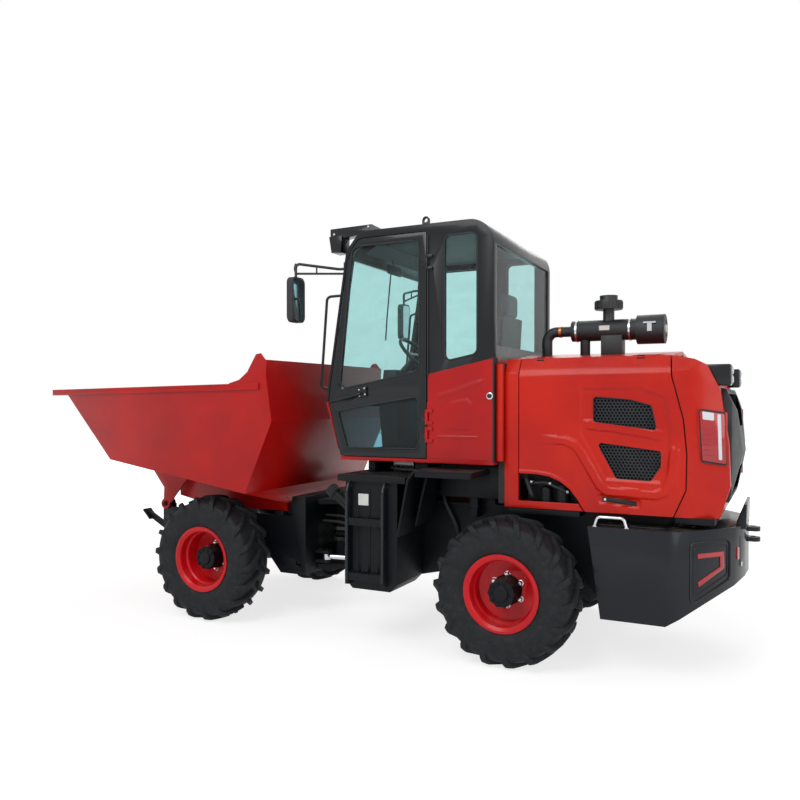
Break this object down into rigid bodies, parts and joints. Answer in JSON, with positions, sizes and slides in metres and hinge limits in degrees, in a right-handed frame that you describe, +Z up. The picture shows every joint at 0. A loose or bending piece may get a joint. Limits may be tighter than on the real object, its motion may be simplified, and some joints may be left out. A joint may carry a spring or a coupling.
{
  "type": "front-tip site dumper",
  "caption": "Articulated four-wheel site dumper with an enclosed cab, a rear engine hood and a forward-tipping skip.",
  "frame": {"origin": "on the ground, halfway along and across the machine's box", "axes": "+X forward to the skip, +Y to the machine's left, +Z up"},
  "size_m": [5.5199, 1.92, 3.0079],
  "materials": {
    "skip_red": "gloss paint",
    "body_red": "gloss paint",
    "rim_red": "gloss paint",
    "chassis_black": "satin paint",
    "ballast_grey": "gloss paint",
    "case_brown": "satin paint",
    "black_plastic": "moulded",
    "tyre_rubber": "moulded rubber",
    "cab_glass": "tinted",
    "seat_vinyl": "vinyl",
    "rod_chrome": "polished"
  },
  "bodies": {
    "rear": {"rear_frame": "chassis_black", "rear_axle": "chassis_black", "transmission": "case_brown", "engine_block": "chassis_black", "counterweight": "ballast_grey", "cab_shell": "body_red", "cab_glass": "cab_glass", "seat": "seat_vinyl", "steering_column": "black_plastic", "side_tank_left": "chassis_black", "side_tank_right": "chassis_black", "hood_top": "body_red", "cowl": "body_red", "tail_cover": "body_red", "air_cleaner": "black_plastic", "rear_fenders": "chassis_black", "work_lamps": "black_plastic", "mirrors": "black_plastic"},
    "front": {"front_frame": "chassis_black", "front_axle": "chassis_black"},
    "skip": {"skip": "skip_red"},
    "rear_left_wheel": {"rear_left_tyre": "tyre_rubber", "rear_left_rim": "rim_red"},
    "rear_right_wheel": {"rear_right_tyre": "tyre_rubber", "rear_right_rim": "rim_red"},
    "front_left_wheel": {"front_left_tyre": "tyre_rubber", "front_left_rim": "rim_red"},
    "front_right_wheel": {"front_right_tyre": "tyre_rubber", "front_right_rim": "rim_red"},
    "steer_barrel_left": {"steer_left_barrel": "chassis_black"},
    "steer_rod_left": {"steer_left_rod": "rod_chrome"},
    "tip_barrel_left": {"tip_left_barrel": "chassis_black"},
    "tip_rod_left": {"tip_left_rod": "rod_chrome"},
    "cab_door_left": {"cab_door_left": "chassis_black", "door_glass_left": "cab_glass"},
    "hood_door_left": {"hood_door_left": "body_red", "vent_mesh_left": "chassis_black"},
    "steer_barrel_right": {"steer_right_barrel": "chassis_black"},
    "steer_rod_right": {"steer_right_rod": "rod_chrome"},
    "tip_barrel_right": {"tip_right_barrel": "chassis_black"},
    "tip_rod_right": {"tip_right_rod": "rod_chrome"},
    "cab_door_right": {"cab_door_right": "chassis_black", "door_glass_right": "cab_glass"},
    "hood_door_right": {"hood_door_right": "body_red", "vent_mesh_right": "chassis_black"},
    "rear_grille": {"rear_grille": "chassis_black"}
  },
  "joints": [
    {"name": "articulation", "type": "hinge", "parent": "rear", "child": "front", "pos_m": [-0.072, 0, 0.665], "axis": [0, 0, 1], "range_deg": [-30, 30]},
    {"name": "rear_left_wheel_spin", "type": "hinge", "parent": "rear", "child": "rear_left_wheel", "pos_m": [-1.29, 0.76, 0.4825], "axis": [0, 1, 0], "continuous": true},
    {"name": "rear_right_wheel_spin", "type": "hinge", "parent": "rear", "child": "rear_right_wheel", "pos_m": [-1.29, -0.76, 0.4825], "axis": [0, 1, 0], "continuous": true},
    {"name": "front_left_wheel_spin", "type": "hinge", "parent": "front", "child": "front_left_wheel", "pos_m": [1.146, 0.76, 0.4825], "axis": [0, 1, 0], "continuous": true},
    {"name": "front_right_wheel_spin", "type": "hinge", "parent": "front", "child": "front_right_wheel", "pos_m": [1.146, -0.76, 0.4825], "axis": [0, 1, 0], "continuous": true},
    {"name": "skip_tip", "type": "hinge", "parent": "front", "child": "skip", "pos_m": [1.875, 0, 0.826], "axis": [0, 1, 0], "range_deg": [0, 65]},
    {"name": "steer_left_base", "type": "hinge", "parent": "rear", "child": "steer_barrel_left", "pos_m": [-0.205, 0.22, 0.47], "axis": [0, 0, 1], "range_deg": [-25.67, 25.67]},
    {"name": "steer_left_slide", "type": "slide", "parent": "steer_barrel_left", "child": "steer_rod_left", "axis": [0.9905, 0.1378, 0], "range_m": [-0.12383, 0.12383]},
    {"name": "tip_left_base", "type": "hinge", "parent": "front", "child": "tip_barrel_left", "pos_m": [0.59, 0.2, 0.45], "axis": [0, 1, 0], "range_deg": [-12.9, 0]},
    {"name": "tip_left_slide", "type": "slide", "parent": "tip_barrel_left", "child": "tip_rod_left", "axis": [0.9413, 0, 0.3376], "range_m": [0, 0.31975]},
    {"name": "cab_door_left_hinge", "type": "hinge", "parent": "rear", "child": "cab_door_left", "pos_m": [-0.678, 0.686, 2], "axis": [0, 0, 1], "range_deg": [0, 100]},
    {"name": "hood_door_left_hinge", "type": "hinge", "parent": "rear", "child": "hood_door_left", "pos_m": [-1.79, 0.526, 1.99], "axis": [1, 0, 0], "range_deg": [0, 72]},
    {"name": "steer_right_base", "type": "hinge", "parent": "rear", "child": "steer_barrel_right", "pos_m": [-0.205, -0.22, 0.47], "axis": [0, 0, 1], "range_deg": [-25.67, 25.67]},
    {"name": "steer_right_slide", "type": "slide", "parent": "steer_barrel_right", "child": "steer_rod_right", "axis": [0.9905, -0.1378, 0], "range_m": [-0.12383, 0.12383]},
    {"name": "tip_right_base", "type": "hinge", "parent": "front", "child": "tip_barrel_right", "pos_m": [0.59, -0.2, 0.45], "axis": [0, 1, 0], "range_deg": [-12.9, 0]},
    {"name": "tip_right_slide", "type": "slide", "parent": "tip_barrel_right", "child": "tip_rod_right", "axis": [0.9413, 0, 0.3376], "range_m": [0, 0.31975]},
    {"name": "cab_door_right_hinge", "type": "hinge", "parent": "rear", "child": "cab_door_right", "pos_m": [-0.678, -0.686, 2], "axis": [0, 0, 1], "range_deg": [-100, 0]},
    {"name": "hood_door_right_hinge", "type": "hinge", "parent": "rear", "child": "hood_door_right", "pos_m": [-1.79, -0.526, 1.99], "axis": [1, 0, 0], "range_deg": [-72, 0]},
    {"name": "rear_grille_hinge", "type": "hinge", "parent": "rear", "child": "rear_grille", "pos_m": [-2.622, -0.434, 1.4], "axis": [0, 0, 1], "range_deg": [0, 105]}
  ],
  "couplings": [
    {"joint": "steer_left_base", "follows": "articulation", "ratio": 0.83903},
    {"joint": "steer_left_slide", "follows": "articulation", "m_per_rad": -0.23186},
    {"joint": "tip_left_base", "follows": "skip_tip", "ratio": -0.1927},
    {"joint": "tip_left_slide", "follows": "skip_tip", "m_per_rad": 0.27364},
    {"joint": "steer_right_base", "follows": "articulation", "ratio": 0.83903},
    {"joint": "steer_right_slide", "follows": "articulation", "m_per_rad": 0.23186},
    {"joint": "tip_right_base", "follows": "skip_tip", "ratio": -0.1927},
    {"joint": "tip_right_slide", "follows": "skip_tip", "m_per_rad": 0.27364}
  ]
}
